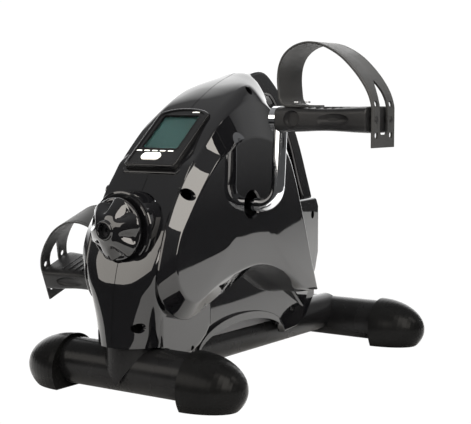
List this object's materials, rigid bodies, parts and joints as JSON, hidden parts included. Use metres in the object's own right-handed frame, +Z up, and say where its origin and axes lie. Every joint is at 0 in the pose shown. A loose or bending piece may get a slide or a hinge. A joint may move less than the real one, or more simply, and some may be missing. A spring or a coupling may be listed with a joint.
{
  "type": "pedal exerciser",
  "caption": "Floor-standing pedal exerciser: tube stand with domed feet, glossy shell with handle, chrome crank, strapped pedals, belt flywheel, magnetic brake and display.",
  "frame": {"origin": "centre of the footprint of the whole part at floor level, under the middle of its bounding box", "axes": "+X to the user's right, -Y towards the user, +Z up"},
  "size_m": [0.421, 0.459, 0.3513],
  "materials": {
    "frame_paint": "satin powder coat",
    "cap_rubber": "satin moulded",
    "bracket_paint": "satin",
    "plated_steel": "zinc plated",
    "shell_gloss": "piano black",
    "black_screw": "black oxide",
    "crank_chrome": "mirror",
    "pulley_plastic": "moulded nylon",
    "belt_rubber": "matte",
    "flywheel_iron": "turned faces",
    "turned_aluminium": "turned",
    "cream_nylon": "natural nylon",
    "magnet_black": "ferrite",
    "console_plastic": "fine satin",
    "display_glass": "grey-green liquid crystal",
    "clear_lens": "clear",
    "board_green": "solder mask",
    "button_white": "semi-gloss",
    "battery_gold": "printed sleeve",
    "pedal_plastic": "fine grain",
    "strap_rubber": "satin"
  },
  "bodies": {
    "frame": {"front_stabiliser": "frame_paint", "rear_stabiliser": "frame_paint", "front_left_cap": "cap_rubber", "front_right_cap": "cap_rubber", "rear_left_cap": "cap_rubber", "rear_right_cap": "cap_rubber", "spine_tube": "frame_paint", "front_post": "frame_paint", "left_plate": "bracket_paint", "right_plate": "bracket_paint", "crank_housing": "bracket_paint", "crank_bearings": "plated_steel", "flywheel_bearings": "plated_steel", "rear_bolts": "plated_steel", "cap_screws": "plated_steel", "side_screws": "plated_steel", "spring_post": "plated_steel", "right_shell": "shell_gloss", "left_shell": "shell_gloss", "shell_screws": "black_screw", "drive_belt": "belt_rubber", "idler_bolt": "plated_steel", "brake_pin": "plated_steel", "brake_spring": "plated_steel", "brake_cable": "belt_rubber", "spindle_bracket": "bracket_paint", "console_housing": "console_plastic", "console_back": "console_plastic", "display_panel": "display_glass", "display_lens": "clear_lens", "circuit_board": "board_green", "battery": "battery_gold", "battery_door": "console_plastic", "console_screws": "plated_steel", "speed_sensor": "pulley_plastic", "sensor_lead": "belt_rubber"},
    "crank": {"crank": "crank_chrome", "drive_pulley": "pulley_plastic", "pulley_magnet": "plated_steel", "right_spindle": "plated_steel", "left_spindle": "plated_steel"},
    "right_pedal_body": {"right_pedal": "pedal_plastic", "right_strap": "strap_rubber", "right_pedal_bushes": "cream_nylon", "right_pedal_screws": "plated_steel"},
    "left_pedal_body": {"left_pedal": "pedal_plastic", "left_strap": "strap_rubber", "left_pedal_bushes": "cream_nylon", "left_pedal_screws": "plated_steel"},
    "flywheel_body": {"flywheel": "flywheel_iron", "flywheel_axle": "plated_steel", "flywheel_pulley": "turned_aluminium", "axle_nuts": "plated_steel"},
    "idler": {"idler_roller": "cream_nylon"},
    "brake": {"brake_bracket": "plated_steel", "brake_magnets": "magnet_black"},
    "knob": {"tension_knob": "shell_gloss", "knob_screw": "black_screw", "tension_spindle": "plated_steel"},
    "button": {"mode_button": "button_white"}
  },
  "joints": [
    {"name": "crank_spin", "type": "hinge", "parent": "frame", "child": "crank", "pos_m": [0, -0.064, 0.186], "axis": [1, 0, 0], "continuous": true},
    {"name": "right_pedal_spin", "type": "hinge", "parent": "crank", "child": "right_pedal_body", "pos_m": [0.15, -0.05702, 0.27473], "axis": [1, 0, 0], "continuous": true},
    {"name": "left_pedal_spin", "type": "hinge", "parent": "crank", "child": "left_pedal_body", "pos_m": [-0.15, -0.07098, 0.09727], "axis": [1, 0, 0], "continuous": true},
    {"name": "flywheel_spin", "type": "hinge", "parent": "frame", "child": "flywheel_body", "pos_m": [0, 0.032, 0.124], "axis": [1, 0, 0], "continuous": true},
    {"name": "idler_spin", "type": "hinge", "parent": "frame", "child": "idler", "pos_m": [0.035, 0.0154, 0.18746], "axis": [1, 0, 0], "continuous": true},
    {"name": "tension_knob_turn", "type": "hinge", "parent": "frame", "child": "knob", "pos_m": [0, -0.205, 0.169], "axis": [0, -1, 0], "range_deg": [0, 300]},
    {"name": "brake_tilt", "type": "hinge", "parent": "frame", "child": "brake", "pos_m": [0, -0.026, 0.097], "axis": [1, 0, 0], "range_deg": [0, 6], "deforming": ["brake_spring"]},
    {"name": "button_press", "type": "slide", "parent": "frame", "child": "button", "axis": [0, 0.6428, -0.766], "range_m": [0, 0.0008], "stiffness_N_per_m": 600}
  ],
  "couplings": [
    {"joint": "flywheel_spin", "follows": "crank_spin", "ratio": 4.1667},
    {"joint": "idler_spin", "follows": "crank_spin", "ratio": -5},
    {"joint": "brake_tilt", "follows": "tension_knob_turn", "ratio": 0.02}
  ]
}
